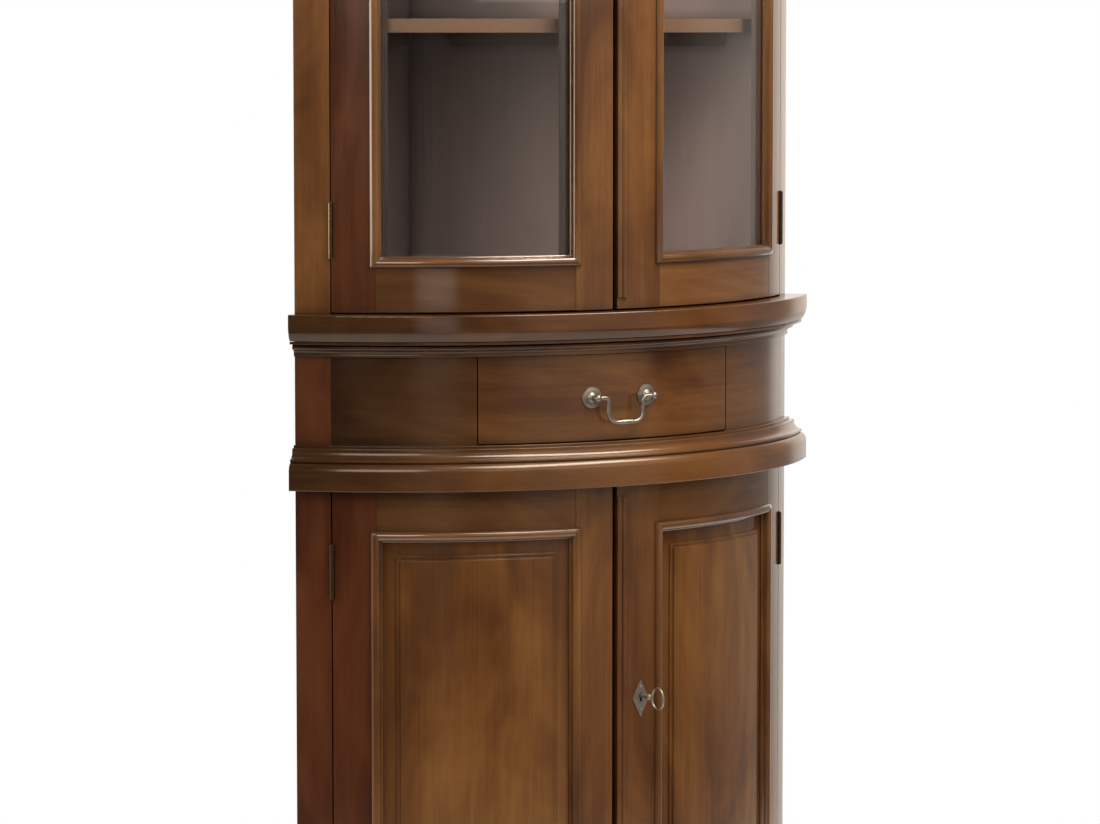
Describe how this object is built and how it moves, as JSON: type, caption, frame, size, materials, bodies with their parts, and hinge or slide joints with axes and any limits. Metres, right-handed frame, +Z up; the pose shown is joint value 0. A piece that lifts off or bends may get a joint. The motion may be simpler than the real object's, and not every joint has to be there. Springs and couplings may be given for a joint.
{
  "type": "corner cabinet",
  "caption": "Bow-front corner cabinet with glazed hutch doors, a waist drawer with a swinging bail pull and locking panelled cupboard doors, for storing and showing tableware.",
  "frame": {"origin": "centre of the footprint's box, on the floor", "axes": "+Z up, the bowed front faces -Y, +Y points into the room's corner"},
  "size_m": [0.839, 0.6056, 2],
  "materials": {
    "mahogany": "gloss lacquer",
    "inside_wood": "satin",
    "drawer_wood": "bare",
    "glass": "clear",
    "hinge_brass": "aged",
    "old_bronze": "aged",
    "lock_steel": "satin"
  },
  "bodies": {
    "carcass": {"base_floor_board": "inside_wood", "base_side_left": "mahogany", "base_side_right": "mahogany", "base_stiles": "mahogany", "cornice": "mahogany", "cupboard_shelf": "inside_wood", "drawer_deck_board": "mahogany", "drawer_frieze": "mahogany", "drawer_runners": "drawer_wood", "hinge_fixed_leaves": "hinge_brass", "hinge_pins": "hinge_brass", "hutch_floor_board": "inside_wood", "hutch_shelves": "inside_wood", "hutch_side_left": "mahogany", "hutch_side_right": "mahogany", "hutch_stiles": "mahogany", "hutch_top_board": "inside_wood", "lower_waist_moulding": "mahogany", "plinth": "mahogany", "shelf_cleats": "inside_wood", "upper_waist_moulding": "mahogany", "waist_top_board": "mahogany"},
    "upper_left_door": {"upper_left_door_bead": "mahogany", "upper_left_door_glass": "glass", "upper_left_door_hinge_leaves": "hinge_brass", "upper_left_door_rails": "mahogany", "upper_left_door_stiles": "mahogany"},
    "upper_right_door": {"upper_escutcheon": "old_bronze", "upper_lock_case": "lock_steel", "upper_right_door_bead": "mahogany", "upper_right_door_glass": "glass", "upper_right_door_hinge_leaves": "hinge_brass", "upper_right_door_meeting_strip": "mahogany", "upper_right_door_rails": "mahogany", "upper_right_door_stiles": "mahogany"},
    "lower_left_door": {"lower_left_door_bead": "mahogany", "lower_left_door_hinge_leaves": "hinge_brass", "lower_left_door_panel": "mahogany", "lower_left_door_rails": "mahogany", "lower_left_door_stiles": "mahogany"},
    "lower_right_door": {"lower_escutcheon": "old_bronze", "lower_lock_case": "lock_steel", "lower_right_door_bead": "mahogany", "lower_right_door_hinge_leaves": "hinge_brass", "lower_right_door_meeting_strip": "mahogany", "lower_right_door_panel": "mahogany", "lower_right_door_rails": "mahogany", "lower_right_door_stiles": "mahogany"},
    "drawer": {"drawer_back": "drawer_wood", "drawer_bottom": "drawer_wood", "drawer_front": "mahogany", "drawer_sides": "drawer_wood", "pull_rosettes": "old_bronze"},
    "bail": {"pull_bail": "old_bronze"},
    "upper_key": {"upper_key": "old_bronze"},
    "lower_key": {"lower_key": "old_bronze"},
    "upper_lock_bolt": {"upper_lock_bolt": "lock_steel"},
    "lower_lock_bolt": {"lower_lock_bolt": "lock_steel"},
    "upper_flush_bolt": {"upper_flush_bolt": "lock_steel"},
    "lower_flush_bolt": {"lower_flush_bolt": "lock_steel"}
  },
  "joints": [
    {"name": "upper_left_door_hinge", "type": "hinge", "parent": "carcass", "child": "upper_left_door", "pos_m": [-0.34703, -0.11188, 1.43125], "axis": [0, 0, -1], "range_deg": [0, 105]},
    {"name": "upper_right_door_hinge", "type": "hinge", "parent": "carcass", "child": "upper_right_door", "pos_m": [0.34703, -0.11188, 1.43125], "axis": [0, 0, 1], "range_deg": [0, 105]},
    {"name": "lower_left_door_hinge", "type": "hinge", "parent": "carcass", "child": "lower_left_door", "pos_m": [-0.34703, -0.11188, 0.422], "axis": [0, 0, -1], "range_deg": [0, 105]},
    {"name": "lower_right_door_hinge", "type": "hinge", "parent": "carcass", "child": "lower_right_door", "pos_m": [0.34703, -0.11188, 0.422], "axis": [0, 0, 1], "range_deg": [0, 105]},
    {"name": "drawer_slide", "type": "slide", "parent": "carcass", "child": "drawer", "axis": [0, -1, 0], "range_m": [0, 0.22]},
    {"name": "bail_swing", "type": "hinge", "parent": "drawer", "child": "bail", "pos_m": [0, -0.26106, 0.8645], "axis": [-1, 0, 0], "range_deg": [-18, 95]},
    {"name": "upper_key_turn", "type": "hinge", "parent": "upper_right_door", "child": "upper_key", "pos_m": [0.03338, -0.24571, 1.41], "axis": [0.0654, -0.9979, 0], "range_deg": [0, 180]},
    {"name": "upper_lock_bolt_slide", "type": "slide", "parent": "upper_right_door", "child": "upper_lock_bolt", "axis": [-0.9979, -0.0654, 0], "range_m": [0, 0.008]},
    {"name": "upper_flush_bolt_slide", "type": "slide", "parent": "upper_left_door", "child": "upper_flush_bolt", "axis": [0, 0, 1], "range_m": [0, 0.01]},
    {"name": "lower_key_turn", "type": "hinge", "parent": "lower_right_door", "child": "lower_key", "pos_m": [0.03338, -0.24571, 0.4755], "axis": [0.0654, -0.9979, 0], "range_deg": [0, 180]},
    {"name": "lower_lock_bolt_slide", "type": "slide", "parent": "lower_right_door", "child": "lower_lock_bolt", "axis": [-0.9979, -0.0654, 0], "range_m": [0, 0.008]},
    {"name": "lower_flush_bolt_slide", "type": "slide", "parent": "lower_left_door", "child": "lower_flush_bolt", "axis": [0, 0, 1], "range_m": [0, 0.01]}
  ],
  "couplings": [
    {"joint": "upper_lock_bolt_slide", "follows": "upper_key_turn", "m_per_rad": 0.0025465},
    {"joint": "lower_lock_bolt_slide", "follows": "lower_key_turn", "m_per_rad": 0.0025465}
  ]
}
